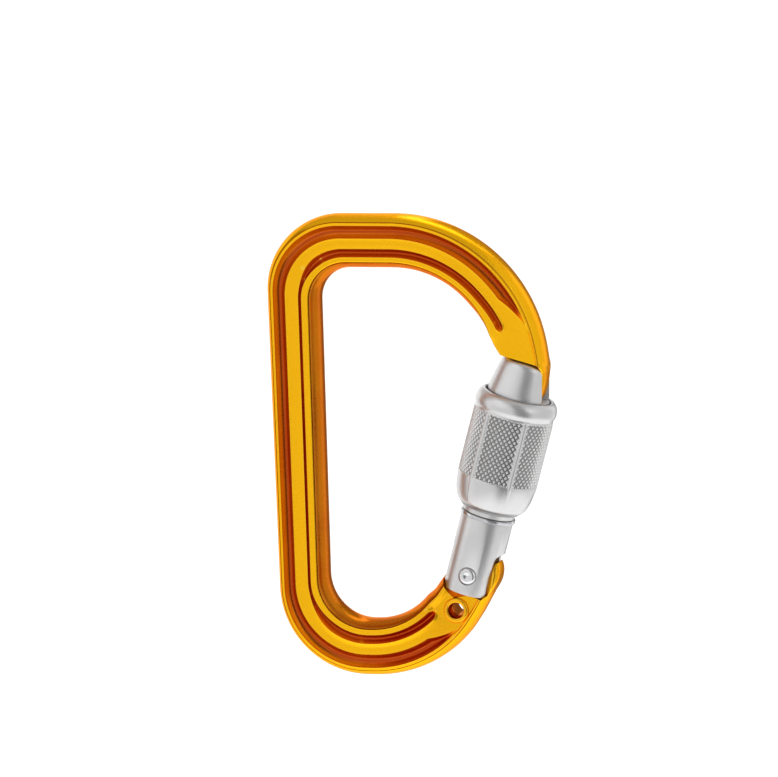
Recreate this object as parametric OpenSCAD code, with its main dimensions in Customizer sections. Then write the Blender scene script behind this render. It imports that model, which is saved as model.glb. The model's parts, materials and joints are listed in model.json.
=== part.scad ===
// Locking carabiner: D-shaped frame, sprung gate, screw-up locking sleeve.
// The frame lies in the XZ plane with its spine along Z; the origin is where it hangs.

/* [Frame] */
// Outer radius of the large top bow
top_bow_r = 34.4; // [33.8:0.1:34.8]
// Depth of the bar across the top bow
top_bow_depth = 12; // [11.6:0.1:12.4]
// Outer radius of the bottom bow
bottom_bow_r = 28.4; // [28.2:0.1:28.6]
// Inner radius of the bottom bow
bottom_bow_inner_r = 15.7; // [15.4:0.1:15.9]
// Half the thickness of the bar
bar_half = 5; // [4.8:0.1:5.2]
// Depth of the two grooves along each face
groove_depth = 1.3; // [0.6:0.1:1.6]
// Radius of the keeper cord hole
keeper_r = 1.8; // [1.5:0.1:2]

/* [Gate] */
// Lean of the gate away from the spine, in degrees
gate_lean = 16; // [15.5:0.1:16.5]
// Radius of the gate tube
tube_r = 5.9; // [5.8:0.05:5.95]
// Radius of the widest part of the gate head
head_r = 7.05; // [6.9:0.05:7.1]
// Height of the gate above its rivet
gate_top = 49.8; // [49.6:0.1:49.9]
// Radius of the rivet shank
rivet_r = 1.7; // [1.5:0.05:1.75]

/* [Sleeve] */
// Largest radius of the locking sleeve
sleeve_r = 9.15; // [9:0.05:9.3]
// Height of the sleeve's lower rim above the rivet
sleeve_low = 15.05; // [15:0.05:15.1]
// Height of the sleeve's lip above the rivet
sleeve_lip = 41.8; // [41.7:0.05:41.85]
// Number of plain ridges between the knurled panels
ridge_count = 6; // [4:1:8]

/* [Hidden] */
$fn = 64;

gold = [0.93, 0.68, 0.1];
silver = [0.78, 0.78, 0.8];
steel = [0.6, 0.6, 0.62];

// Hinge of the gate, in the plane of the frame
hinge = [23.1, 0, -68.5];
keeper = [20.1, 0, -76.5];
run_clear = 0.05;       // running clearance on a radius
tang_half = 2;          // half thickness of the frame's tang
slot_half = 2.15;       // half width of the gate's fork
lip_half = 4.1;         // half thickness of the lip outside the fork
pocket_r = 6.25;        // recess that the fork turns in
fork_end = -4.4;        // square end of the fork
fork_r = 6.1;           // rounded end of the fork
cut_u = 4.6;            // flat on the outer side of the fork
notch_r = 1.85;         // rounded top of that flat
notch_v = 4.2;
cam_offset = 1.5;       // the tang's round end sits off the rivet, so it pushes the plunger
cam_r = 3.9;
nose_half = 3.4;        // half thickness of the frame's nose
nose_slot_half = 3.6;   // half width of the slot that takes it
nose_tip_r = 42.8;      // the nose ends on an arc about the rivet
seat_v = 50.1;          // face of the frame above the gate
rivet_head_r = 1.95;
bore_r = 2.55;          // spring bore in the gate
bore_top = 31;
plunger_foot = cam_r + 0.06;
ring_v = 13;            // stop ring, above the rivet
ring_h = 0.8;
ring_groove_r = 5.4;
thread_r = 6.6;         // outer radius of the gate's thread
reach = 40;             // long enough to cut right through

// Places a piece drawn about the gate's own axis: X outwards, Z along the gate from the rivet.
module on_gate() { translate(hinge) rotate([0, gate_lean, 0]) children(); }

// A cylinder along Y, centred on the frame's plane
module cross_pin(r, half) { rotate([90, 0, 0]) cylinder(r = r, h = 2 * half, center = true); }

/* ---- The bar of the frame, swept through its bends ---- */

top_centre = [7, top_bow_depth - top_bow_r];
bottom_centre = [0.5, -63.8];
top_inner_r = top_bow_r - top_bow_depth;

// Each bend: outer centre, outer radius, inner centre, inner radius, start and end angle, steps.
bends = [
    [top_centre, top_bow_r, top_centre, top_inner_r, 20, 90, 15],
    [[-5.1, -5], 17, [-2.7, -7.5], 7.5, 90, 180, 12],
    [[-1.4, -72.2], 20, [-0.2, -69.5], 10, 180, 270, 12],
    [bottom_centre, bottom_bow_r, bottom_centre, bottom_bow_inner_r, 270, 320, 10]
];

function polar(c, r, a) = [c[0] + r * cos(a), c[1] + r * sin(a)];
function uv(u, v) = [hinge[0] + u * cos(gate_lean) + v * sin(gate_lean),
                     hinge[2] - u * sin(gate_lean) + v * cos(gate_lean)];
// 0 below a, 1 above b, smooth between
function ease(a, b, x) = let(t = max(0, min(1, (x - a) / (b - a)))) t * t * (3 - 2 * t);

// A station: outer point, inner point, groove share, share by which the inner groove is pinched
nose_stations = [
    [uv(4.98, seat_v - 0.7), uv(-5.2, seat_v - 0.7), 0, 0],
    [polar(top_centre, top_bow_r, 10), [30.15, -16.95], 0, 0]
];
bend_stations = [
    for (i = [0 : 3], k = [0 : bends[i][6]])
        let(b = bends[i], a = b[4] + (b[5] - b[4]) * k / b[6],
            fade = ease(20, 34, a) * (1 - ease(306, 320, a)),
            pinch = ease(125, 170, a) * (1 - ease(190, 235, a)),
            thin = 0.75 * (1 - ease(18, 42, a)))
            [polar(b[0], b[1], a), polar(b[2], b[3] + thin, a), fade, pinch]
];
hinge_stations = [
    [polar(bottom_centre, bottom_bow_r, 330), uv(-7.35, -6.1), 0, 0],
    [uv(5.35, -5.4), uv(-6.5, -3.9), 0, 0],
    [uv(5.95, -2.8), uv(-5.75, -2), 0, 0],
    [uv(6.45, 0.5), uv(-5.2, 0.5), 0, 0]
];
stations = concat(nose_stations, bend_stations, hinge_stations);

// Half outline of the bar's section: share of its depth, and height.
// Round sides, a raised rim at each edge, two grooves and a band between them.
function half_section(g, pinch) =
    let(t = bar_half, d = groove_depth * g, e = 0.61 + 0.06 * pinch, f = 0.74 - 0.035 * pinch)
    [[0, 0.9], [0.03, 2.9], [0.09, 4.4], [0.12, t], [0.18, t], [0.23, t - d], [0.4, t - d],
     [0.44, t - d * 0.1], [e, t - d * 0.1], [e + 0.03, t - d], [f, t - d], [f + 0.03, t],
     [0.83, t], [0.91, 4.3], [0.97, 2.6], [1, 0.9]];

function section_ring(s) =
    let(h = half_section(s[2], s[3]), n = len(h))
    [for (i = [0 : 2 * n - 1])
        let(p = i < n ? h[i] : h[2 * n - 1 - i], side = i < n ? -1 : 1)
            [s[0][0] + (s[1][0] - s[0][0]) * p[0], side * p[1], s[0][1] + (s[1][1] - s[0][1]) * p[0]]];

module sweep(rings) {
    m = len(rings);
    n = len(rings[0]);
    walls = [for (j = [0 : m - 2], i = [0 : n - 1], k = [0, 1])
        let(a = j * n + i, b = j * n + (i + 1) % n, c = a + n, d = b + n)
            k == 0 ? [a, b, d] : [a, d, c]];
    caps = [[for (i = [n - 1 : -1 : 0]) i], [for (i = [0 : n - 1]) (m - 1) * n + i]];
    polyhedron(points = [for (r = rings) each r], faces = concat(walls, caps), convexity = 6);
}

// Tongue that drops from the end of the top bow into the gate's head
module nose() {
    on_gate() difference() {
        rotate([90, 0, 0]) linear_extrude(2 * nose_half, center = true)
            polygon([[2.9, seat_v + 2], [2.9, 48.5], [2.2, 45.5], [2.1, 42], [5.45, 42],
                     [5.6, 44], [5.55, 46.4], [5.2, 48.2], [4.85, seat_v], [3.9, seat_v + 2]]);
        cross_pin(nose_tip_r, reach);
    }
}

// Thin end that the gate's fork straddles, with the cam that works the plunger
module tang() {
    on_gate() rotate([90, 0, 0]) {
        linear_extrude(2 * tang_half, center = true) {
            translate([-cam_offset, 0]) circle(cam_r);
            polygon([[-4, -5], [5.2, -5], [6.15, -2], [6.45, -0.4], [6.45, 1.2], [6.3, 2.2], [6, 3.1],
                     [5.55, 3.85], [5.2, 4], [4.8, 3.8], [4.3, 3.3], [-1, 3.3], [-4, 2]]);
        }
        // Lip outside the fork, hooked over towards the gate
        linear_extrude(2 * lip_half, center = true)
            polygon([[4.83, -4.05], [5.3, -5], [5.75, -4.2], [6.2, -2.8], [6.42, -1.5], [6.5, -0.4],
                     [6.5, 1.2], [6.35, 2.2], [6.05, 3.1], [5.6, 3.85], [5.25, 4], [4.95, 3.7],
                     [4.9, 2.6], [5.1, 1], [5.4, 0], [5.7, -0.9], [5.95, -1.5], [5.95, -2.1], [5.5, -3.12]]);
    }
}

module frame() {
    color(gold) difference() {
        union() {
            difference() {
                sweep([for (s = stations) section_ring(s)]);
                // Recess on each face for the two sides of the fork
                for (side = [-1, 1]) on_gate()
                    translate([0, side * (tang_half + reach / 2), 0]) {
                        intersection() {
                            cross_pin(pocket_r, reach / 2);
                            // Floor that the square end of the fork clears as it swings
                            rotate([90, 0, 0]) linear_extrude(reach, center = true)
                                polygon([[-12, 12], [12, 12], [12, fork_end - 0.2], [1, fork_end - 0.2],
                                         [-12, fork_end - 0.2 - 13 * tan(25)]]);
                        }
                        translate([-reach / 2, -reach / 2, -3]) cube([reach / 2, reach, 8]);
                    }
                // Square up the two ends
                on_gate() translate([-reach / 2, -reach / 2, 0]) cube([reach, reach, 8]);
                on_gate() translate([-reach / 2, -reach / 2, seat_v - 8]) cube([reach, reach, 8]);
            }
            nose();
            tang();
            keeper_boss();
        }
        on_gate() cross_pin(rivet_r + run_clear, reach);
        translate(keeper) cross_pin(keeper_r, reach);
    }
}

// Low collar round the keeper hole
module keeper_boss() { translate(keeper) cross_pin(keeper_r + 1.1, bar_half + 0.15); }

/* ---- The gate ---- */

// Outline of the gate's tube and head: radius, height
gate_outline = [
    [0, fork_end], [tube_r, fork_end], [tube_r, ring_v],
    [ring_groove_r, ring_v], [ring_groove_r, ring_v + ring_h + 0.1], [tube_r, ring_v + ring_h + 0.1],
    [tube_r, 24.3], [thread_r, 24.9], [thread_r, 34], [6.2, 34.4], [6.2, 38], [head_r, 38.8],
    [head_r, 42.6], [6, gate_top - 2.2], [5.75, gate_top - 1.1], [5.4, gate_top - 0.4], [4.8, gate_top],
    [0, gate_top]
];

module gate() {
    color(silver) on_gate() difference() {
        rotate_extrude() polygon(gate_outline);
        // Spring bore
        translate([0, 0, -10]) cylinder(r = bore_r, h = 10 + bore_top);
        // Fork
        translate([-reach / 2, -slot_half, -10]) cube([reach, 2 * slot_half, 15.6]);
        // Rounded end of the fork
        difference() {
            translate([-reach / 2, -reach / 2, -10]) cube([reach, reach, 10]);
            cross_pin(fork_r, reach);
        }
        // Flat on the outer side, ending in a rounded notch
        translate([cut_u, -reach / 2, -10]) cube([reach, reach, 10 + notch_v]);
        translate([cut_u + notch_r, 0, notch_v]) cross_pin(notch_r, reach);
        // Rivet holes and the seats of its two heads
        cross_pin(rivet_r, reach);
        for (side = [-1, 1]) translate([0, side * (5.2 + reach / 2), 0]) cross_pin(rivet_head_r + 0.1, reach / 2);
        // Slot in the head for the frame's nose
        rotate([90, 0, 0]) linear_extrude(2 * nose_slot_half, center = true)
            polygon([[2.65, gate_top + 2], [2.65, 48.4], [1.95, 45.4], [1.85, sleeve_lip - 0.1],
                     [10, sleeve_lip - 0.1], [10, gate_top + 2]]);
    }
}

module gate_rivet() {
    color(steel) on_gate() {
        cross_pin(rivet_r, 5.3);
        for (side = [-1, 1]) rotate([side * 90, 0, 0]) rotate_extrude()
            polygon([[0, 5.2], [rivet_head_r, 5.2], [rivet_head_r, 5.75], [1.75, 6.05], [1.35, 6.22],
                     [0.75, 6.28], [0.45, 6], [0, 5.95]]);
    }
}

// Coil spring above the plunger
spring_turns = 13;
spring_sides = 6;
spring_steps = 14;
wire_r = 0.28;
coil_r = 2.05;
spring_low = plunger_foot + 5.1 + wire_r;
spring_high = bore_top - 0.05 - wire_r;

module gate_spring() {
    count = spring_turns * spring_steps;
    rings = [for (k = [0 : count])
        let(a = 360 * k / spring_steps, z = spring_low + (spring_high - spring_low) * k / count)
            [for (i = [0 : spring_sides - 1])
                let(b = 360 * i / spring_sides, r = coil_r + wire_r * cos(b))
                    [r * cos(a), r * sin(a), z + wire_r * sin(b)]]];
    color(steel) on_gate() sweep(rings);
}

module spring_plunger() {
    color(steel) on_gate() rotate_extrude()
        polygon([[0, plunger_foot], [2.2, plunger_foot], [2.5, plunger_foot + 0.3],
                 [2.5, plunger_foot + 4.8], [2.2, plunger_foot + 5.1], [1.5, plunger_foot + 5.1],
                 [1.5, plunger_foot + 8.4], [1.2, plunger_foot + 8.8], [0, plunger_foot + 8.8]]);
}

/* ---- The locking sleeve and its stop ring ---- */

band_low = 22.4;         // knurled band, above the rivet
band_high = 37.5;
ridge_low = 17.6;
ridge_r = 0.8;

sleeve_outline = [
    [tube_r + 0.1, sleeve_low], [6.55, sleeve_low], [6.95, sleeve_low + 0.2], [7.45, sleeve_low + 0.75],
    [7.9, sleeve_low + 1.55], [8.25, sleeve_low + 2.45], [8.6, sleeve_low + 3.75], [8.85, sleeve_low + 5.35],
    [sleeve_r - 0.2, band_low - 0.6], [sleeve_r - 0.35, band_low], [sleeve_r - 0.35, band_high - 0.2],
    [sleeve_r - 0.25, band_high + 0.5], [sleeve_r, 38.6], [sleeve_r + 0.1, 39.2], [sleeve_r, 40],
    [8.85, 40.7], [8.5, 41.3], [8.1, sleeve_lip - 0.1], [7.8, sleeve_lip], [7.6, sleeve_lip],
    [7.5, sleeve_lip - 0.1], [7.5, 32], [thread_r + run_clear, 31.2], [thread_r + run_clear, 26], [7, 25.6],
    [7, 19], [tube_r + 0.1, 18.4]
];

module locking_sleeve() {
    color(silver) on_gate() {
        rotate_extrude() polygon(sleeve_outline);
        for (i = [0 : ridge_count - 1]) rotate([0, 0, 2 + 360 * i / ridge_count])
            intersection() {
                translate([sleeve_r - ridge_r, 0, ridge_low]) cylinder(r = ridge_r, h = band_high - 0.1 - ridge_low);
                translate([0, 0, ridge_low]) cylinder(r1 = 8.2, r2 = 12.6, h = 16);
            }
    }
}

// Open snap ring that keeps the sleeve from dropping off the tube
module stop_ring() {
    color(steel) on_gate() difference() {
        translate([0, 0, ring_v + 0.05]) rotate_extrude()
            polygon([[ring_groove_r + run_clear, 0], [6.15, 0], [6.25, 0.1], [6.25, ring_h - 0.1],
                     [6.15, ring_h], [ring_groove_r + run_clear, ring_h]]);
        translate([-10, -0.8, ring_v - 1]) cube([10, 1.6, 4]);
    }
}

frame();
gate();
gate_rivet();
gate_spring();
spring_plunger();
locking_sleeve();
stop_ring();
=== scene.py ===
"""Finished model of a screw-gate carabiner: grooved frame, sprung gate, knurled locking sleeve."""

import json
import math

import bmesh
import bpy
from bpy.props import FloatProperty, FloatVectorProperty, IntProperty, PointerProperty
from mathutils import Matrix, Vector
from mathutils.kdtree import KDTree


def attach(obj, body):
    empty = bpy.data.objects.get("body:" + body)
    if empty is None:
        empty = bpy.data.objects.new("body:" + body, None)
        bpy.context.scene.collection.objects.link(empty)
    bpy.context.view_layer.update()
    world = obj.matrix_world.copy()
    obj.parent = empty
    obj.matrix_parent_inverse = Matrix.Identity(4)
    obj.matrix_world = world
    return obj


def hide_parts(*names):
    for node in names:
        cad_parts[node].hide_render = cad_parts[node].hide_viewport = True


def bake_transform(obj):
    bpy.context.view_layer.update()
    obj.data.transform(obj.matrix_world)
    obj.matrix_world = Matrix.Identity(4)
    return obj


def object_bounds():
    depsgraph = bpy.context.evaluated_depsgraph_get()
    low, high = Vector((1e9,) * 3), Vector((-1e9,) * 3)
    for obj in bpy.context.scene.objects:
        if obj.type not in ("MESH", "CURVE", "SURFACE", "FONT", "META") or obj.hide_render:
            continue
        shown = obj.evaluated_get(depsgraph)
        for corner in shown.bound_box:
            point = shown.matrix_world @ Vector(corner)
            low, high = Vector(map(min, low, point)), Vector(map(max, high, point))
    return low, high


bl_info = {
    "name": "Locking Carabiner",
    "version": (1, 0, 0),
    "blender": (4, 5, 0),
    "location": "View3D > Sidebar > Carabiner",
    "description": "Builds the pieces of a screw-gate carabiner on its frame",
    "category": "Add Mesh",
}

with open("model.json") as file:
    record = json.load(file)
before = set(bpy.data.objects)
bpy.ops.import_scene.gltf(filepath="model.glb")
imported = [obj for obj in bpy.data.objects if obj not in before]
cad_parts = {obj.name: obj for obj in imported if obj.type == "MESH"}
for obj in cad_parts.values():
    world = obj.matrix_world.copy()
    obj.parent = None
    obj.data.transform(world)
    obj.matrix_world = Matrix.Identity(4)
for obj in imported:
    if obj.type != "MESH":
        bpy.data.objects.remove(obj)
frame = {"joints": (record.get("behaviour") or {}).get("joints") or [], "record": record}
cad_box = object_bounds()

MM = 0.001
JOINTS = {joint["name"]: joint for joint in frame["joints"]}
MOUNTS = {mount["name"]: mount for mount in frame["record"]["mounts"]}
HINGE = Vector(JOINTS["gate_open"]["pos_m"])
GATE_AXIS = Vector(JOINTS["sleeve_turn"]["axis"]).normalized()
GATE_LEAN = math.atan2(GATE_AXIS.x, GATE_AXIS.z)
KEEPER = Vector(MOUNTS["keeper_hole"]["pos_m"]) / MM

# Drawn in millimetres: in the row frame, or about the gate's own axis (X outwards, Z along the gate).
IN_FRAME = Matrix.Scale(MM, 4)
IN_GATE = Matrix.Translation(HINGE) @ Matrix.Rotation(GATE_LEAN, 4, "Y") @ Matrix.Scale(MM, 4)

# Frame
BAR_HALF = 5.0
TANG_HALF = 2.0
POCKET_R = 6.25
KEEPER_R = MOUNTS["keeper_hole"]["dims"]["r_mm"]
FRAME_RIVET_R = 1.75
SEAT_V = 50.1

# Gate, its heights measured from the hinge
GATE_OPENS = 25.0
TUBE_R = 5.9
HEAD_R = 7.05
FORK_R = 6.1
GATE_RIVET_R = 1.72
RIVET_HEAD_R = 2.05
SPRING_BORE_R = 2.55
BORE_TOP = 31.0
GATE_TOP = 49.8
PLUNGER_FOOT = 3.96
PLUNGER_BODY = 5.1
RING_V = 13.05

# Sleeve, its heights measured from the hinge
SLEEVE_R = 9.15
SLEEVE_LOW = 15.05
SLEEVE_LIP = 41.8
BAND_LOW = 22.4
BAND_HIGH = 37.5
KNURL_ROWS = 11
RIDGE_HALF = 0.62


# ---------------------------------------------------------------- curves and sections


def ease(low, high, x):
    """0 below low, 1 above high, smooth between."""
    t = min(1.0, max(0.0, (x - low) / (high - low)))
    return t * t * (3 - 2 * t)


def ramp(low, high, x):
    """0 below low, 1 above high, straight between."""
    return min(1.0, max(0.0, (x - low) / (high - low)))


def on_gate(u, v):
    """A point of the gate's own plane, in the frame's plane, in millimetres."""
    sin, cos = math.sin(GATE_LEAN), math.cos(GATE_LEAN)
    return Vector((HINGE.x / MM + u * cos + v * sin, HINGE.z / MM - u * sin + v * cos))


def polar(centre, radius, degrees):
    """A point at a radius and an angle round a centre."""
    a = math.radians(degrees)
    return Vector((centre[0] + radius * math.cos(a), centre[1] + radius * math.sin(a)))


def spline(points, t):
    """Catmull-Rom curve through points[1:-1]; t runs from 0 at points[1]."""
    k = min(int(t), len(points) - 4)
    f = t - k
    a, b, c, d = points[k : k + 4]
    square, cube = 2 * a - 5 * b + 4 * c - d, 3 * b - a - 3 * c + d
    return 0.5 * (2 * b + (c - a) * f + square * f * f + cube * f**3)


def rounded(outline, radius, steps=3):
    """The closed outline with every corner rounded off."""
    out = []
    n = len(outline)
    for i in range(n):
        p, before, after = (Vector(outline[j]) for j in (i, i - 1, (i + 1) % n))
        a, b = before - p, after - p
        if min(p.x, max(before.x, after.x)) < 1e-6 or a.length < 1e-6 or b.length < 1e-6:
            out.append(p)
            continue
        reach = min(radius, 0.45 * a.length, 0.45 * b.length)
        start, end = p + a.normalized() * reach, p + b.normalized() * reach
        for k in range(steps + 1):
            f = k / steps
            out.append(start * (1 - f) ** 2 + p * 2 * f * (1 - f) + end * f * f)
    return out


def stations(look):
    """Stations along the bar: angle, outer point, inner point, in the frame's plane."""
    bow = look.top_radius / MM
    top, bottom = (7.0, 12.0 - bow), (0.5, -63.8)
    # Outer centre and radius, inner centre and radius, first and last angle
    bends = [
        (top, bow, top, bow - 12.0, 20, 90),
        ((-5.1, -5.0), 17.0, (-2.7, -7.5), 7.5, 90, 180),
        ((-1.4, -72.2), 20.0, (-0.2, -69.5), 10.0, 180, 270),
        (bottom, 28.4, bottom, 15.7, 270, 320),
    ]

    def at(bend, a):
        return polar(bend[0], bend[1], a), polar(bend[2], bend[3] + 0.75 * (1 - ease(18, 42, a)), a)

    def between(stops, t):
        return (spline([stop[side] for stop in stops], t) for side in (0, 1))

    first, last = bends[0], bends[-1]
    nose = [at(first, 30), at(first, 20), (polar(top, bow, 10), Vector((30.15, -16.95)))]
    nose.append((on_gate(4.98, SEAT_V - 0.7), on_gate(-5.2, SEAT_V - 0.7)))
    nose.append((on_gate(5.3, SEAT_V - 5), on_gate(-3.8, SEAT_V - 3)))
    hinge = [at(last, 310), at(last, 320), (polar(bottom, 28.4, 330), on_gate(-7.35, -6.1))]
    hinge += [
        (on_gate(5.35, -5.4), on_gate(-6.5, -3.9)),
        (on_gate(5.95, -2.8), on_gate(-5.75, -2.0)),
        (on_gate(6.45, 0.5), on_gate(-5.2, 0.5)),
        (on_gate(6.4, 3.0), on_gate(-4.6, 3.0)),
    ]
    made = []
    for k in range(24, 0, -1):
        t = k / 12
        made.append((20 - 10 * min(t, 1) - 6 * max(0, t - 1), *between(nose, t)))
    for bend in bends:
        a = bend[4]
        while a < bend[5]:
            made.append((a, *at(bend, a)))
            fine = a < 34 or a >= 302
            a = min(a + (0.5 if fine else 1.5), bend[5])
        made.append((bend[5], *at(bend, bend[5])))
    for k in range(1, 33):
        t = k / 8
        made.append((320 + 10 * t, *between(hinge, t)))
    return made


def channel(start, end, depth, count=14):
    """Share, drop and recess across one channel: rounded floor, rolled lips that stand a little proud."""
    lip = 0.05 * min(1.0, depth / 0.5)
    made = [(start - 0.022, 0.0, 0.0), (start - 0.012, -lip, 0.0)]
    for k in range(count + 1):
        q = k / count
        q = q - 0.07 * math.sin(2 * math.pi * q)
        drop = max(0.0, math.sin(math.pi * q)) ** 0.75
        made.append((start + (end - start) * q, depth * drop - 0.8 * lip * (1 - drop), drop))
    return made + [(end + 0.012, -lip, 0.0), (end + 0.022, 0.0, 0.0)]


def half_section(look, a):
    """Half outline of the bar at an angle: share of its depth, height, and painted shade (0 to 1)."""
    t = BAR_HALF
    outer = ramp(18.5, 33, a) * (1 - ramp(304, 320, a))
    floor = ease(18.5, 27, a) * (1 - ease(309, 320, a))
    inner = ease(18.5, 22, a) * (1 - ease(314, 319, a))
    pinch = ease(125, 170, a) * (1 - ease(190, 235, a))
    dish = 0.45 * ease(313, 320, a)
    fall = 0.4 * (1 - ease(10, 24, a))
    # Painted shade: faces towards the bottom of the frame darker and more orange, as under light from above.
    lower_face_shade = 0.3 * ease(280, 312, a)
    square = 1 - 0.8 * (1 - ease(8, 42, a))
    # Painted shade: grooves darker and redder towards the bottom of the frame.
    lower_groove_shade = 1 + 0.35 * ease(262, 290, a)
    deep = look.groove_depth / MM * (1 + 0.25 * ease(262, 290, a))
    made = []
    # Outer side and its bright edge; full painted shade on the crease line below the edge.
    for k in range(9):
        h = 4.8 * math.sin(math.radians(90 * k / 8)) * 0.999
        made.append((0.2 * (1 - math.sqrt(1 - (h / 5.3) ** 2)), h, 0.0))
    edge = 0.122
    made += [(edge, 4.66, 1.0), (edge + 0.009, 4.93, 0.2), (edge + 0.018, t, 0.0), (0.146, t, 0.0)]
    # Outer groove, the land between the grooves, and the inner groove; the groove floors carry painted shade.
    gap = 0.235 * max(outer, 0.03)
    groove = channel(0.18, 0.18 + gap, deep * floor)
    made += [(s, t - h - dish * ease(0.15, 0.185, s), c * floor * lower_groove_shade) for s, h, c in groove]
    low, high = 0.61 + 0.06 * pinch, 0.765 - 0.035 * pinch
    left, right = 0.18 + gap + 0.034, low - 0.034
    for k in range(7):
        q = k / 6
        made.append((left + (right - left) * q, t - 0.02 - 0.1 * math.sin(math.pi * q) - dish, 0.0))
    mid, half = (low + high) / 2, (high - low) / 2 * math.sqrt(max(inner, 0.002))
    groove = channel(mid - half, mid + half, deep * inner * (1 - 0.35 * pinch))
    made += [(s, t - h - dish * (1 - ease(0.78, 0.82, s)), c * inner * lower_groove_shade) for s, h, c in groove]
    # Inner edge and side; the crease line and the inner side carry painted shade.
    edge = 0.136 * square
    made += [(0.8, t - dish * 0.4, 0.0), (0.82, t, 0.0)]
    made += [(1 - edge - 0.018, t, 0.0), (1 - edge - 0.008, 4.93, 0.2), (1 - edge, 4.58, 1.0)]
    for k in range(9):
        h = 4.72 * math.sin(math.radians(90 * (8 - k) / 8)) * 0.999
        made.append((1 - 0.22 * square * (1 - math.sqrt(1 - (h / 5.2) ** 2)), h, 0.74))
    return [(s, h - fall * ease(0.15, 0.185, s) * h / t, max(c, lower_face_shade)) for s, h, c in made]


# ---------------------------------------------------------------- mesh building


def finish_mesh(obj, angle=32.0):
    """Welds, turns the faces outwards and shades smooth up to an angle."""
    made = bmesh.new()
    made.from_mesh(obj.data)
    bmesh.ops.remove_doubles(made, verts=made.verts, dist=2e-7)
    bmesh.ops.dissolve_degenerate(made, edges=made.edges, dist=1e-8)
    bmesh.ops.recalc_face_normals(made, faces=made.faces)
    made.to_mesh(obj.data)
    made.free()
    obj.data.shade_smooth()
    obj.data.set_sharp_from_angle(angle=math.radians(angle))


def new_object(name, verts, faces, place):
    """A new piece from points in millimetres, put in its place."""
    mesh = bpy.data.meshes.new(name)
    mesh.from_pydata([place @ Vector(v) for v in verts], [], faces)
    obj = bpy.data.objects.new(name, mesh)
    bpy.context.scene.collection.objects.link(obj)
    finish_mesh(obj)
    return obj


def settle(obj, body, node, material, ride=True):
    """Hands a finished piece to its body, in place of its plain node."""
    if not obj.data.polygons:
        raise RuntimeError(f"{obj.name} has no faces")
    obj.data.materials.clear()
    obj.data.materials.append(material)
    if ride:
        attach(obj, body)
    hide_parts(node)


def loft(rings, closed=False):
    """Vertices and faces of a tube through rings of equal length, with capped ends."""
    n = len(rings[0])
    verts = [p for ring in rings for p in ring]
    pairs = range(len(rings)) if closed else range(len(rings) - 1)
    faces = []
    for j in pairs:
        k = (j + 1) % len(rings)
        faces += [(j * n + i, j * n + (i + 1) % n, k * n + (i + 1) % n, k * n + i) for i in range(n)]
    if not closed:
        faces += [tuple(reversed(range(n))), tuple((len(rings) - 1) * n + i for i in range(n))]
    return verts, faces


def lathe(outline, segments, start=0.0, turn=360.0, shape=None):
    """Turns a closed outline of (radius, height) about the gate's axis.

    shape(radius, height, angle) may change a radius.
    """
    closed = turn >= 360.0
    rings = []
    for k in range(segments if closed else segments + 1):
        a = math.radians(start + turn * k / segments)
        ring = []
        for r, v in outline:
            r = shape(r, v, a) if shape else r
            ring.append((r * math.cos(a), r * math.sin(a), v))
        rings.append(ring)
    return loft(rings, closed)


def prism(outline, low, high):
    """A flat outline of (u, v) run through the thickness, from Y low to Y high."""
    return loft([[(u, y, v) for u, v in outline] for y in (low, high)])


def pin(centre, radius, low, high, segments=64):
    """A round pin through the thickness."""
    turns = [2 * math.pi * k / segments for k in range(segments)]
    outline = [(centre[0] + radius * math.cos(a), centre[1] + radius * math.sin(a)) for a in turns]
    return prism(outline, low, high)


def apply_modifiers(obj):
    """Makes what the modifiers show into the piece's own mesh."""
    graph = bpy.context.evaluated_depsgraph_get()
    graph.update()
    made = bpy.data.meshes.new_from_object(obj.evaluated_get(graph))
    old, name = obj.data, obj.data.name
    obj.modifiers.clear()
    obj.data = made
    bpy.data.meshes.remove(old)
    made.name = name


def combine(obj, other, operation):
    """Adds a closed piece to another, or takes it out, and drops the second object."""
    modifier = obj.modifiers.new("Combine", "BOOLEAN")
    modifier.operation, modifier.solver, modifier.object = operation, "MANIFOLD", other
    apply_modifiers(obj)
    bpy.data.objects.remove(other)
    if not obj.data.polygons:
        raise RuntimeError(f"nothing is left of {obj.name}")


def cut(obj, shapes, place):
    """Takes shapes that stay clear of each other out of a piece."""
    verts, faces = [], []
    for more_verts, more_faces in shapes:
        faces += [tuple(len(verts) + i for i in face) for face in more_faces]
        verts += more_verts
    combine(obj, new_object(obj.name + "_tool", verts, faces, place), "DIFFERENCE")


def bevel(obj, width, angle=40.0, segments=3):
    """Breaks the sharp edges of a piece."""
    modifier = obj.modifiers.new("Edge", "BEVEL")
    modifier.width, modifier.segments = width * MM, segments
    modifier.limit_method, modifier.angle_limit = "ANGLE", math.radians(angle)
    modifier.use_clamp_overlap = True
    apply_modifiers(obj)


# ---------------------------------------------------------------- materials


class Value:
    """A node's output that takes part in Python expressions; each operation adds a Math node."""

    def __init__(self, finish, socket):
        self.finish, self.socket = finish, socket

    def _math(self, operation, *values):
        return self.finish.add("ShaderNodeMath", {"operation": operation}, dict(enumerate(values)))

    def __add__(self, other):
        return self._math("ADD", self, other)

    def __sub__(self, other):
        return self._math("SUBTRACT", self, other)

    def __rsub__(self, other):
        return self._math("SUBTRACT", other, self)

    def __mul__(self, other):
        return self._math("MULTIPLY", self, other)

    __radd__, __rmul__ = __add__, __mul__

    def within(self, low, high):
        """0 at low and below, 1 at high and above."""
        inputs = {"Value": self, "From Min": low, "From Max": high}
        return self.finish.add("ShaderNodeMapRange", {"interpolation_type": "SMOOTHSTEP"}, inputs)


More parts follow.
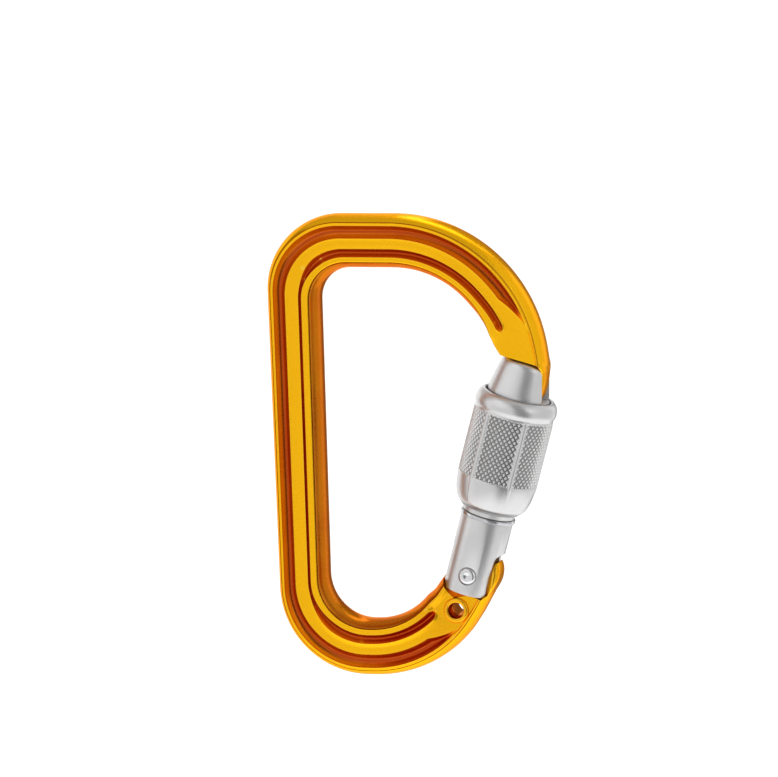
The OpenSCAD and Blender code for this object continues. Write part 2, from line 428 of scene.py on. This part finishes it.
class Finish:
    """A material built from expressions."""

    def __init__(self, name):
        self.material = bpy.data.materials.new(name)
        self.material.use_nodes = True
        self.tree = self.material.node_tree
        self.tree.nodes.clear()
        self.shader = self.tree.nodes.new("ShaderNodeBsdfPrincipled")
        output = self.tree.nodes.new("ShaderNodeOutputMaterial")
        self.tree.links.new(self.shader.outputs[0], output.inputs[0])

    def put(self, socket, value):
        """Links a value to a socket, or sets the socket to a number or colour."""
        if isinstance(value, Value):
            self.tree.links.new(value.socket, socket)
        elif isinstance(value, (tuple, list)) and socket.type == "RGBA":
            socket.default_value = (*value[:3], 1.0)
        else:
            socket.default_value = value

    def add(self, kind, settings=None, inputs=None, output=0):
        """A node with its settings made first and then its sockets; gives one output."""
        node = self.tree.nodes.new(kind)
        for key, value in (settings or {}).items():
            setattr(node, key, value)
        for key, value in (inputs or {}).items():
            self.put(node.inputs[key], value)
        return Value(self, node.outputs[output])

    def place(self, scale):
        """Coordinates fixed to the piece, scaled."""
        here = self.add("ShaderNodeTexCoord", output="Object")
        return self.add("ShaderNodeVectorMath", {"operation": "SCALE"}, {0: here, "Scale": scale})

    def along_gate(self, scale):
        """Distance along the gate."""
        here = self.add("ShaderNodeTexCoord", output="Object")
        settings = {"operation": "DOT_PRODUCT"}
        return self.add("ShaderNodeVectorMath", settings, {0: here, 1: tuple(GATE_AXIS)}, "Value") * scale

    def noise(self, scale, detail=3.0, rough=0.5):
        """Soft random variation."""
        inputs = {"Vector": self.place(scale), "Scale": 1.0, "Detail": detail, "Roughness": rough}
        return self.add("ShaderNodeTexNoise", None, inputs)

    def lines(self, scale, detail=4.0):
        """Fine turned rings round the gate's axis."""
        inputs = {"W": self.along_gate(scale), "Scale": 1.0, "Detail": detail}
        return self.add("ShaderNodeTexNoise", {"noise_dimensions": "1D"}, inputs)

    def mix(self, factor, a, b):
        """Colour a at 0, colour b at 1."""
        return self.add("ShaderNodeMix", {"data_type": "RGBA"}, {0: factor, 6: a, 7: b}, 2)

    def bump(self, height, distance, strength):
        """Relief of a height, as a normal."""
        inputs = {"Height": height, "Distance": distance, "Strength": strength}
        return self.add("ShaderNodeBump", None, inputs)

    def done(self, **sockets):
        """Feeds the shader, a space in a socket's name written as an underscore."""
        for name, value in sockets.items():
            self.put(self.shader.inputs[name.replace("_", " ")], value)
        return self.material


def gold_anodised(look):
    """Gold anodised bead-blasted aluminium, with painted shade: deeper and redder in grooves, creases, the
    inner side and the lower bow, paler on sharp convex edges.
    """
    f = Finish("gold_anodised")
    painted_shade = f.add("ShaderNodeAttribute", {"attribute_name": "painted_shade"}, output="Fac")
    cloud = f.noise(90.0, 2.0)
    grain = f.noise(5200.0, 2.0)
    edge = f.add("ShaderNodeNewGeometry", output="Pointiness").within(0.515, 0.6)
    # Painted shade from the attribute, mixed with random tone from the cloud noise.
    shade_and_tone = (painted_shade * 0.95 + (cloud - 0.5) * 0.22).within(0.08, 1.0)
    # The gold goes to the painted shade colour where the shade is full.
    colour = f.mix(shade_and_tone, tuple(look.gold), tuple(look.shaded_gold))
    # Paler on sharp convex edges, by pointiness.
    colour = f.mix(edge * 0.35, colour, (1.0, 0.7, 0.12))
    rough = look.gold_roughness + (cloud - 0.5) * 0.1 + (grain - 0.5) * 0.08 - edge * 0.05
    return f.done(
        Base_Color=colour,
        Roughness=rough,
        Metallic=1.0,
        Normal=f.bump(grain, 0.00002, 0.35),
        Coat_Weight=0.08,
        Coat_Roughness=0.15,
        Specular_Tint=(1.0, 0.5, 0.12),
    )


def satin_silver(look, name, turned, rough):
    """Satin aluminium with faint turned rings and handling marks, and painted shade in the knurl valleys and
    inside the sleeve.
    """
    f = Finish(name)
    cloud = f.noise(160.0, 3.0)
    rings = f.lines(turned)
    scuff = f.noise(900.0, 5.0, 0.7).within(0.62, 0.8)
    dark = tuple(c * 0.93 for c in look.silver)
    colour = f.mix((cloud * 0.6 + rings * 0.4).within(0.3, 0.75), dark, tuple(look.silver))
    painted_shade = f.add("ShaderNodeAttribute", {"attribute_name": "painted_shade"}, output="Fac")
    # Painted shade: the colour darkens towards a fifth of the silver where the shade attribute is high.
    colour = f.mix(painted_shade.within(0.3, 1.0) * 0.68, colour, tuple(c * 0.2 for c in look.silver))
    gloss = rough + (cloud - 0.5) * 0.06 + (rings - 0.5) * 0.04 + scuff * 0.05
    relief = f.bump(rings + scuff * 0.5, 0.000004, 0.25)
    return f.done(Base_Color=colour, Roughness=gloss, Metallic=1.0, Normal=relief)


def bright_steel(name, colour, rough):
    """Drawn or headed stainless steel."""
    f = Finish(name)
    cloud = f.noise(700.0, 4.0)
    tint = f.mix(cloud, tuple(c * 0.8 for c in colour), colour)
    gloss = rough + (cloud - 0.5) * 0.12
    return f.done(Base_Color=tint, Roughness=gloss, Metallic=1.0, Normal=f.bump(cloud, 0.00001, 0.3))


def pale_paper(look):
    """Matt pale paper, lit a little from inside so that it stays even."""
    f = Finish("pale_floor")
    grain = f.noise(40.0, 3.0)
    colour = f.mix(grain, tuple(c * 0.985 for c in look.floor), tuple(look.floor))
    return f.done(Base_Color=colour, Roughness=0.9, Emission_Color=(1, 1, 1), Emission_Strength=0.42)


# ---------------------------------------------------------------- settings


class CarabinerLook(bpy.types.PropertyGroup):
    """Sizes and colours of the carabiner."""

    top_radius: FloatProperty(
        name="Top bow", description="Outer radius of the large bow", unit="LENGTH", default=34.4 * MM
    )
    groove_depth: FloatProperty(
        name="Groove depth", description="Depth of the frame's grooves", unit="LENGTH", default=1.3 * MM
    )
    knurl_depth: FloatProperty(
        name="Knurl depth", description="Depth of the sleeve's knurl", unit="LENGTH", default=0.36 * MM
    )
    knurl_count: IntProperty(
        name="Knurls round", description="Diamonds round the sleeve", default=48, min=24
    )
    gold: FloatVectorProperty(
        name="Gold", description="Dye on raised faces", subtype="COLOR", size=3, default=(0.98, 0.5, 0.005)
    )
    # Painted shade colour: the frame's gold goes to this in grooves, creases, the inner side, the lower bow and
    # the hole walls.
    shaded_gold: FloatVectorProperty(
        name="Deep gold", description="Dye in the grooves", subtype="COLOR", size=3, default=(0.46, 0.06, 0.006)
    )
    gold_roughness: FloatProperty(
        name="Gold roughness", description="Roughness of the frame", subtype="FACTOR", default=0.26
    )
    silver: FloatVectorProperty(
        name="Silver", description="Gate and sleeve", subtype="COLOR", size=3, default=(0.66, 0.655, 0.655)
    )
    floor: FloatVectorProperty(
        name="Floor", description="Floor of the studio", subtype="COLOR", size=3, default=(0.93, 0.93, 0.93)
    )


class CARABINER_OT_frame(bpy.types.Operator):
    """Forged frame: swept bar with two grooves a side, nose, tang, lip and keeper hole"""

    bl_idname = "carabiner.frame"
    bl_label = "Frame"
    bl_options = {"REGISTER", "UNDO"}

    def execute(self, context):
        look = context.scene.carabiner_look
        rings = []
        marks = []
        for a, outer, inner in stations(look):
            half = half_section(look, a)
            ring = []
            for side, points in ((-1, half), (1, half[::-1])):
                # The third value of each section point is its painted shade.
                for share, height, depth in points:
                    x, z = outer + (inner - outer) * share
                    ring.append((x, side * height, z))
                    marks.append(((x * MM, side * height * MM, z * MM), depth))
            rings.append(ring)
        bar = new_object("frame_bar", *loft(rings), IN_FRAME)
        wide = 30.0
        ends = [
            prism([(-wide, 0), (wide, 0), (wide, 9), (-wide, 9)], -wide, wide),
            prism([(-wide, SEAT_V - 9), (wide, SEAT_V - 9), (wide, SEAT_V), (-wide, SEAT_V)], -wide, wide),
        ]
        cut(bar, ends, IN_GATE)
        cut(bar, [self.pocket(-wide, -TANG_HALF), self.pocket(TANG_HALF, wide)], IN_GATE)
        nose = [(2.9, 50.9), (2.9, 48.5), (2.2, 45.5), (2.1, 42.85), (2.3, 42.75)]
        nose += [(4.7, 42.6), (4.7, 46), (4.3, 49.3), (3.6, 50.9)]
        tongue = new_object("frame_nose", *prism(nose, -3.4, 3.4), IN_GATE)
        cam = [polar((-1.5, 0), 3.9, k) for k in range(95, 266, 9)]
        hook = [(-3.5, -5), (5.2, -5), (6.0, -2), (6.3, -0.4), (6.3, 1.2), (6.15, 2.1)]
        hook += [(5.85, 2.9), (5.45, 3.6), (5.1, 3.8), (4.7, 3.6), (4.35, 3.2)]
        outline = [(-1, 3.3), *cam, *hook]
        web = new_object("frame_tang", *prism(outline, -TANG_HALF, TANG_HALF), IN_GATE)
        bevel(web, 0.2, 50)
        rings = self.rounded_rings(self.LIP, 0.6)
        lip = new_object("frame_lip", *loft(rings), IN_GATE)
        rings = self.rounded_rings(self.NOSE_SKIN, 0.75)
        skin = new_object("frame_nose_skin", *loft(rings), IN_GATE)
        for piece in (web, lip, tongue, skin, *self.collars()):
            combine(bar, piece, "UNION")
        cut(bar, [pin((KEEPER.x, KEEPER.z), KEEPER_R, -wide, wide, 72)], IN_FRAME)
        cut(bar, [pin((0, 0), FRAME_RIVET_R, -3, 3, 48)], IN_GATE)
        # The finished bar takes its painted shade from the nearest point of the sweep.
        tree = KDTree(len(marks))
        for k, (point, _) in enumerate(marks):
            tree.insert(point, k)
        tree.balance()
        layer = bar.data.attributes.new("painted_shade", "FLOAT", "POINT")
        layer.data.foreach_set("value", [self.shade_at(v.co, tree, marks) for v in bar.data.vertices])
        finish_mesh(bar, 40)
        settle(bar, "frame", "frame", gold_anodised(look))
        return {"FINISHED"}

    @staticmethod
    def shade_at(point, tree, marks):
        """Painted shade at a point of the finished frame; walls of the keeper hole take full painted shade, and
        faces away from the sweep, such as pocket walls, take some.
        """
        if math.hypot(point.x / MM - KEEPER.x, point.z / MM - KEEPER.z) < KEEPER_R + 0.05:
            return 1.0
        _, k, distance = tree.find(point)
        return marks[k][1] if distance < 0.5 * MM else 0.35

    @staticmethod
    def collars():
        """Raised ring round the keeper hole, on each face."""
        outline = [(0, 3.2), (0, 4.9), (1.75, 4.9), (1.9, 5.08), (2.15, 5.15), (2.45, 5.12)]
        outline += [(2.7, 4.95), (2.85, 4.65), (3.0, 4.3), (3.0, 3.2)]
        made = []
        for side in (-1, 1):
            turn = Matrix.Rotation(math.radians(-90 * side), 4, "X")
            place = Matrix.Translation(KEEPER * MM) @ turn @ Matrix.Scale(MM, 4)
            made.append(new_object("frame_collar", *lathe(outline, 72), place))
        return made

    @staticmethod
    def pocket(low, high):
        """Recess that the fork swings in, on one face."""
        arc = [polar((0, 0), POCKET_R, k) for k in range(-30, 6, 5)]
        rise = math.tan(math.radians(GATE_OPENS))
        swept = [polar((0, 0), POCKET_R, k) for k in range(209, 320, 3)]
        left = [p for p in swept if p.x < 0 and p.y > -4.6 - (1 - p.x) * rise]
        outline = [(12, 0.5), (12, 9), (-16, 9), (-16, -3), (-5.48, -3), *left]
        outline += [(-1.82, -5.91), (1, -4.6), (4.2, -4.6), *arc]
        return prism(outline, low, high)

    # Height on the gate's axis, inner and outer side, half thickness
    LIP = (
        (-4.2, 4.9, 5.3, 3.6),
        (-3.2, 5.25, 5.65, 3.8),
        (-2.3, 5.45, 5.95, 3.95),
        (-1.4, 5.5, 6.2, 4.05),
        (-0.7, 5.42, 6.38, 4.1),
        (0.1, 5.28, 6.48, 4.1),
        (1.0, 5.12, 6.48, 4.0),
        (1.9, 5.0, 6.36, 3.8),
        (2.7, 4.95, 6.14, 3.5),
        (3.4, 4.98, 5.85, 3.0),
        (3.85, 5.05, 5.58, 2.5),
        (4.02, 5.15, 5.4, 2.1),
    )
    NOSE_SKIN = (
        (51.8, 2.5, 3.8, 4.65),
        (51.0, 2.9, 4.2, 4.68),
        (50.4, 3.2, 4.5, 4.7),
        (49.95, 3.5, 4.72, 4.6),
        (49.5, 3.85, 4.88, 4.35),
        (49.0, 4.15, 5.04, 3.92),
        (48.3, 4.2, 5.22, 3.56),
        (47.4, 4.15, 5.4, 3.4),
        (46.2, 4.15, 5.55, 3.38),
        (44.8, 4.2, 5.62, 3.35),
        (43.6, 4.3, 5.58, 3.2),
        (42.9, 4.4, 5.45, 2.95),
        (42.62, 4.5, 5.2, 2.6),
    )

    @staticmethod
    def rounded_rings(rows, bulge):
        """Rings along the gate's axis with a rounded outer side and a flat inner side."""
        rings = []
        for v, inside, outside, half in rows:
            ring = []
            for k in range(25):
                a = math.radians(-90 + 180 * k / 24)
                side = math.copysign(abs(math.sin(a)) ** bulge, a)
                ring.append((inside + (outside - inside) * math.cos(a) ** 0.6, half * side, v))
            rings.append(ring)
        return rings


class CARABINER_OT_gate(bpy.types.Operator):
    """Gate: tube with a forked foot, a threaded middle and a slotted head"""

    bl_idname = "carabiner.gate"
    bl_label = "Gate"
    bl_options = {"REGISTER", "UNDO"}

    def execute(self, context):
        look = context.scene.carabiner_look
        outline = [(0, -4.4), (TUBE_R, -4.4), (TUBE_R, 13), (5.4, 13), (5.4, 13.9)]
        outline += [(TUBE_R, 13.9), (TUBE_R, 24.3)]
        for k in range(5):
            low = 25.2 + 1.8 * k
            outline += [(6.1, low - 0.5), (6.6, low), (6.6, low + 0.5), (6.1, low + 1)]
        outline += [(6.2, 34.4), (6.2, 38), (HEAD_R, 38.8), (HEAD_R, 42.6)]
        outline += [(6.0, 47.6), (5.75, 48.7), (5.4, 49.4), (4.8, GATE_TOP), (0, GATE_TOP)]
        gate = new_object("gate_tube", *lathe(rounded(outline, 0.35), 128), IN_GATE)
        wide = 20.0
        turns = [polar((0, 0), FORK_R, k) for k in range(180, 361, 3)]
        foot = [(-wide, 0), (-wide, -wide), (wide, -wide), (wide, 0), *reversed(turns)]
        notch = [polar((6.45, 4.2), 1.85, k) for k in range(170, 89, -10)]
        flat = [(4.6, -wide), (4.6, 4.2), *notch, (wide, 6.05), (wide, -wide)]
        slot = [(2.65, 52), (2.65, 48.4), (1.95, 45.4), (1.85, 41.7), (wide, 41.7), (wide, 52)]
        cut(gate, [prism(foot, -wide, wide), prism(slot, -3.6, 3.6)], IN_GATE)
        cut(gate, [prism(flat, -wide, wide)], IN_GATE)
        fork = [(-wide, -10), (wide, -10), (wide, 5.6), (-wide, 5.6)]
        cut(gate, [prism(fork, -TANG_HALF - 0.15, TANG_HALF + 0.15)], IN_GATE)
        cut(gate, [pin((0, 0), GATE_RIVET_R, -wide, wide)], IN_GATE)
        sinks = [pin((0, 0), RIVET_HEAD_R, -wide, -5.2), pin((0, 0), RIVET_HEAD_R, 5.2, wide)]
        cut(gate, sinks, IN_GATE)
        bore = [(0, -9), (SPRING_BORE_R, -9), (SPRING_BORE_R, BORE_TOP), (0, BORE_TOP)]
        cut(gate, [lathe(bore, 48)], IN_GATE)
        bevel(gate, 0.12, 50, 2)
        finish_mesh(gate, 32)
        settle(gate, "gate", "gate", satin_silver(look, "satin_gate", 5200.0, 0.36))
        return {"FINISHED"}


class CARABINER_OT_rivet(bpy.types.Operator):
    """Rivet with a domed, dimpled head on each side"""

    bl_idname = "carabiner.rivet"
    bl_label = "Gate rivet"
    bl_options = {"REGISTER", "UNDO"}

    def execute(self, context):
        look = context.scene.carabiner_look
        half = [(0, 5.93), (0.35, 5.95), (0.7, 6.18), (1.05, 6.26), (1.4, 6.2), (1.72, 6.0)]
        half += [(1.9, 5.72), (1.95, 5.4), (1.95, 5.2), (1.7, 5.2)]
        outline = half + [(r, -v) for r, v in reversed(half)]
        stand = Matrix.Rotation(math.radians(90), 4, "X")
        rivet = new_object("gate_rivet_pin", *lathe(outline, 64), IN_GATE @ stand)
        finish_mesh(rivet, 40)
        steel = bright_steel("rivet_steel", (0.78, 0.78, 0.79), 0.2)
        settle(rivet, "gate", "gate_rivet", steel)
        return {"FINISHED"}


class CARABINER_OT_sleeve(bpy.types.Operator):
    """Locking sleeve: knurled panels between plain ridges, smooth lip and taper"""

    bl_idname = "carabiner.sleeve"
    bl_label = "Locking sleeve"
    bl_options = {"REGISTER", "UNDO"}

    def execute(self, context):
        look = context.scene.carabiner_look
        low, top = SLEEVE_LOW, BAND_HIGH
        outline = [(6.0, low), (6.4, low), (6.6, low + 0.06), (6.75, low + 0.25), (6.85, low + 0.55)]
        outline += [(7.15, low + 0.68), (7.45, low + 0.9), (7.9, low + 1.55), (8.25, low + 2.45)]
        outline += [(8.6, low + 3.75), (8.85, low + 5.35), (8.95, low + 6.5), (8.97, BAND_LOW - 0.1)]
        rows = 12 * KNURL_ROWS
        outline += [(8.96, BAND_LOW + (top - BAND_LOW) * k / rows) for k in range(rows + 1)]
        outline += [(8.84, top + 0.15), (8.84, top + 0.4), (8.95, top + 0.65), (9.12, top + 1.0)]
        outline += [(9.22, 38.9), (9.25, 39.3), (9.22, 39.8), (9.12, 40.3), (8.93, 40.8), (8.62, 41.25)]
        outline += [(8.3, 41.58), (8.0, 41.75), (7.75, SLEEVE_LIP), (7.6, 41.77), (7.5, 41.65)]
        outline += [(7.5, 32), (6.65, 31.2), (6.65, 26), (7.0, 25.6), (7.0, 19), (6.0, 18.4)]
        count, depth = look.knurl_count, look.knurl_depth / MM
        pitch = (top - BAND_LOW) / KNURL_ROWS
        panel = math.pi / 3
        first = math.radians(2)

        def saw(x):
            return 1 - abs(2 * (x - math.floor(x)) - 1)

        def from_ridge(a):
            """Distance round the sleeve from the nearest plain ridge."""
            return abs((a - first + panel / 2) % panel - panel / 2) * SLEEVE_R

        def valley(v, a):
            """1 at the bottom of the knurl's grooves, 0 on its points and off the knurl."""
            fade = ease(BAND_LOW, BAND_LOW + 0.35, v) * (1 - ease(top - 0.3, top, v))
            p, q = a * count / (2 * math.pi), (v - BAND_LOW) / pitch
            return fade * ease(0.6, 0.85, from_ridge(a)) * (1 - min(1.0, 1.6 * min(saw(p + q), saw(p - q))))

        def shape(radius, v, a):
            """The knurled panels, with a plain ridge between each two."""
            if radius < 8.0 or v > top + 0.1:
                return radius
            off = from_ridge(a)
            body = radius - depth * valley(v, a)
            if v > BAND_LOW:
                body -= 0.12 * (1 - ease(0.6, 0.75, off)) * (1 - ease(top - 0.2, top, v))
            crest = SLEEVE_R - 0.9 * off * off - 0.15 * ease(top - 0.9, top, v)
            foot = 8.42 + (v - 18.0) * 0.2 - 0.5 * off
            return max(body, min(crest, foot)) if off < RIDGE_HALF else body

        sleeve = new_object("sleeve_body", *lathe(outline, 12 * count, shape=shape), IN_GATE)
        flat = IN_GATE.inverted()
        shade_values = []
        for vertex in sleeve.data.vertices:
            x, y, v = flat @ vertex.co
            reach = math.hypot(x, y)
            knurled = BAND_LOW <= v <= top and reach > 8
            # Painted shade: darker in the knurl valleys, and fully dark inside the sleeve's bore.
            shade_values.append(valley(v, math.atan2(y, x)) if knurled else 1.0 - ease(7.5, 7.6, reach))
        layer = sleeve.data.attributes.new("painted_shade", "FLOAT", "POINT")
        layer.data.foreach_set("value", shade_values)
        finish_mesh(sleeve, 50)
        satin = satin_silver(look, "satin_sleeve", 3800.0, 0.34)
        settle(sleeve, "sleeve", "locking_sleeve", satin)
        return {"FINISHED"}


class CARABINER_OT_inner(bpy.types.Operator):
    """Coil spring, plunger and the open stop ring"""

    bl_idname = "carabiner.inner"
    bl_label = "Spring, plunger and ring"
    bl_options = {"REGISTER", "UNDO"}

    def execute(self, context):
        look = context.scene.carabiner_look
        wire, coil, turns, steps, sides = 0.28, 2.05, 13, 28, 10
        foot = PLUNGER_FOOT
        collar = foot + PLUNGER_BODY
        low, high = collar + wire, BORE_TOP - 0.05 - wire
        rings = []
        for k in range(turns * steps + 1):
            a = 2 * math.pi * k / steps
            z = low + (high - low) * k / (turns * steps)
            ring = []
            for i in range(sides):
                b = 2 * math.pi * i / sides
                r = coil + wire * math.cos(b)
                ring.append((r * math.cos(a), r * math.sin(a), z + wire * math.sin(b)))
            rings.append(ring)
        steel = bright_steel("spring_wire", (0.62, 0.62, 0.64), 0.28)
        spring = new_object("spring_coil", *loft(rings), IN_GATE)
        settle(spring, "gate", "gate_spring", steel, ride=False)
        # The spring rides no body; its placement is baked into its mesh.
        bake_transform(spring)
        outline = [(0, foot), (2.5, foot), (2.5, collar), (1.5, collar), (1.5, foot + 8.8), (0, foot + 8.8)]
        plunger = new_object("plunger_body", *lathe(rounded(outline, 0.3), 64), IN_GATE)
        settle(plunger, "plunger", "spring_plunger", steel)
        ring = rounded([(5.45, RING_V), (6.25, RING_V), (6.25, RING_V + 0.8), (5.45, RING_V + 0.8)], 0.18)
        gap = math.degrees(0.8 / 5.85)
        snap = new_object("stop_ring_wire", *lathe(ring, 96, 180 + gap, 360 - 2 * gap), IN_GATE)
        steel = bright_steel("ring_steel", (0.66, 0.66, 0.68), 0.22)
        settle(snap, "ring", "stop_ring", steel)
        return {"FINISHED"}


class CARABINER_OT_stage(bpy.types.Operator):
    """Pale floor, soft light and the camera"""

    bl_idname = "carabiner.stage"
    bl_label = "Stage"
    bl_options = {"REGISTER", "UNDO"}

    def execute(self, context):
        scene = context.scene
        look = scene.carabiner_look
        scene.view_settings.view_transform = "Standard"
        low = cad_box[0].z - 0.25
        bowl = [(0.0, low), (4.0, low), (4.6, low + 0.08), (5.1, low + 0.35)]
        bowl += [(5.4, low + 0.8), (5.5, low + 1.4), (5.5, low + 3.0)]
        turns = [k * math.pi / 36 for k in range(72)]
        verts, faces = loft([[(r * math.cos(a), r * math.sin(a), z) for a in turns] for r, z in bowl])
        floor = new_object("floor", verts, faces[:-2], Matrix.Identity(4))
        floor.data.materials.append(pale_paper(look))
        self.sky(scene)
        self.card("card_left", -62, 10, 0.45, (-0.3, 0.5), 0.85)
        self.card("card_dark", 15, 58, 0.4, (-0.35, 0.5), 0.22)
        self.card("card_right", 62, 140, 0.45, (-0.3, 0.45), 0.8)
        self.card("card_far_left", -112, -80, 0.45, (-0.3, 0.45), 0.25)
        self.card("card_back", 156, 185, 0.5, (-0.3, 0.45), 0.3)
        self.lamp("key", (-0.55, -0.9, 0.75), 0.8, 3.5)
        self.lamp("fill", (0.95, -0.55, 0.35), 0.6, 1.5)
        self.lamp("back", (0.1, 0.9, 0.7), 0.7, 2.5)
        self.camera(scene)
        return {"FINISHED"}

    @staticmethod
    def card(name, start, end, reach, heights, strength):
        """Curved card that only shows in gloss, from one azimuth to another round the object."""
        steps = 12
        turns = [math.radians(start + (end - start) * k / steps) for k in range(steps + 1)]
        verts = [(reach * math.sin(a), -reach * math.cos(a), z) for z in heights for a in turns]
        faces = [(k, k + 1, k + steps + 2, k + steps + 1) for k in range(steps)]
        card = new_object(name, verts, faces, Matrix.Identity(4))
        f = Finish(name)
        glow = {"Emission_Color": (1, 1, 1), "Emission_Strength": strength}
        card.data.materials.append(f.done(Base_Color=(0, 0, 0), Roughness=1.0, **glow))
        card.visible_camera = card.visible_diffuse = card.visible_shadow = False

    @staticmethod
    def sky(scene):
        """Even white light from all round."""
        world = bpy.data.worlds.new("studio")
        world.use_nodes = True
        tree = world.node_tree
        tree.nodes.clear()
        output = tree.nodes.new("ShaderNodeOutputWorld")
        sky = tree.nodes.new("ShaderNodeBackground")
        sky.inputs["Color"].default_value = (1, 1, 1, 1)
        sky.inputs["Strength"].default_value = 0.6
        tree.links.new(sky.outputs[0], output.inputs[0])
        scene.world = world

    @staticmethod
    def lamp(name, place, size, power):
        """Round soft light aimed at the middle of the carabiner."""
        light = bpy.data.lights.new(name, "AREA")
        light.shape, light.size, light.energy = "DISK", size, power
        obj = bpy.data.objects.new(name, light)
        obj.location = place
        aim = Vector((0.005, 0, -0.04)) - obj.location
        obj.rotation_euler = aim.to_track_quat("-Z", "Y").to_euler()
        bpy.context.scene.collection.objects.link(obj)

    @staticmethod
    def camera(scene):
        """Long lens, a little from the right and above, and a little rolled."""
        azimuth, elevation, roll = (math.radians(k) for k in (15.0, 9.0, 1.7))
        width, lens = 0.17289, 300.0
        level = math.cos(elevation)
        back = Vector((math.sin(azimuth) * level, -math.cos(azimuth) * level, math.sin(elevation)))
        right = Vector((math.cos(azimuth), math.sin(azimuth), 0))
        up = back.cross(right)
        sin, cos = math.sin(roll), math.cos(roll)
        right, up = right * cos - up * sin, right * sin + up * cos
        aim = Vector((0.008, 0, -0.0074)) - right * 0.002444 - up * 0.019667
        data = bpy.data.cameras.new("camera")
        data.lens, data.sensor_width = lens, 36.0
        camera = bpy.data.objects.new("camera", data)
        distance = width * lens / data.sensor_width
        turn = Matrix((right, up, back)).transposed()
        camera.matrix_world = Matrix.Translation(aim + back * distance) @ turn.to_4x4()
        data.clip_start, data.clip_end = 0.05, 100.0
        scene.collection.objects.link(camera)
        scene.camera = camera


PIECES = (
    CARABINER_OT_stage,
    CARABINER_OT_frame,
    CARABINER_OT_gate,
    CARABINER_OT_rivet,
    CARABINER_OT_sleeve,
    CARABINER_OT_inner,
)


class CARABINER_PT_panel(bpy.types.Panel):
    """Lists the pieces and their settings"""

    bl_label = "Locking Carabiner"
    bl_idname = "CARABINER_PT_panel"
    bl_space_type = "VIEW_3D"
    bl_region_type = "UI"
    bl_category = "Carabiner"

    def draw(self, context):
        for name in CarabinerLook.__annotations__:
            self.layout.prop(context.scene.carabiner_look, name)
        for piece in PIECES:
            self.layout.operator(piece.bl_idname)


def register():
    for cls in (CarabinerLook, *PIECES, CARABINER_PT_panel):
        bpy.utils.register_class(cls)
    bpy.types.Scene.carabiner_look = PointerProperty(type=CarabinerLook)


def unregister():
    del bpy.types.Scene.carabiner_look
    for cls in (CARABINER_PT_panel, *reversed(PIECES), CarabinerLook):
        bpy.utils.unregister_class(cls)


def main():
    """Registers the add-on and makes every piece."""
    register()
    for piece in PIECES:
        group, name = piece.bl_idname.split(".")
        getattr(getattr(bpy.ops, group), name)()


if __name__ == "__main__":
    main()
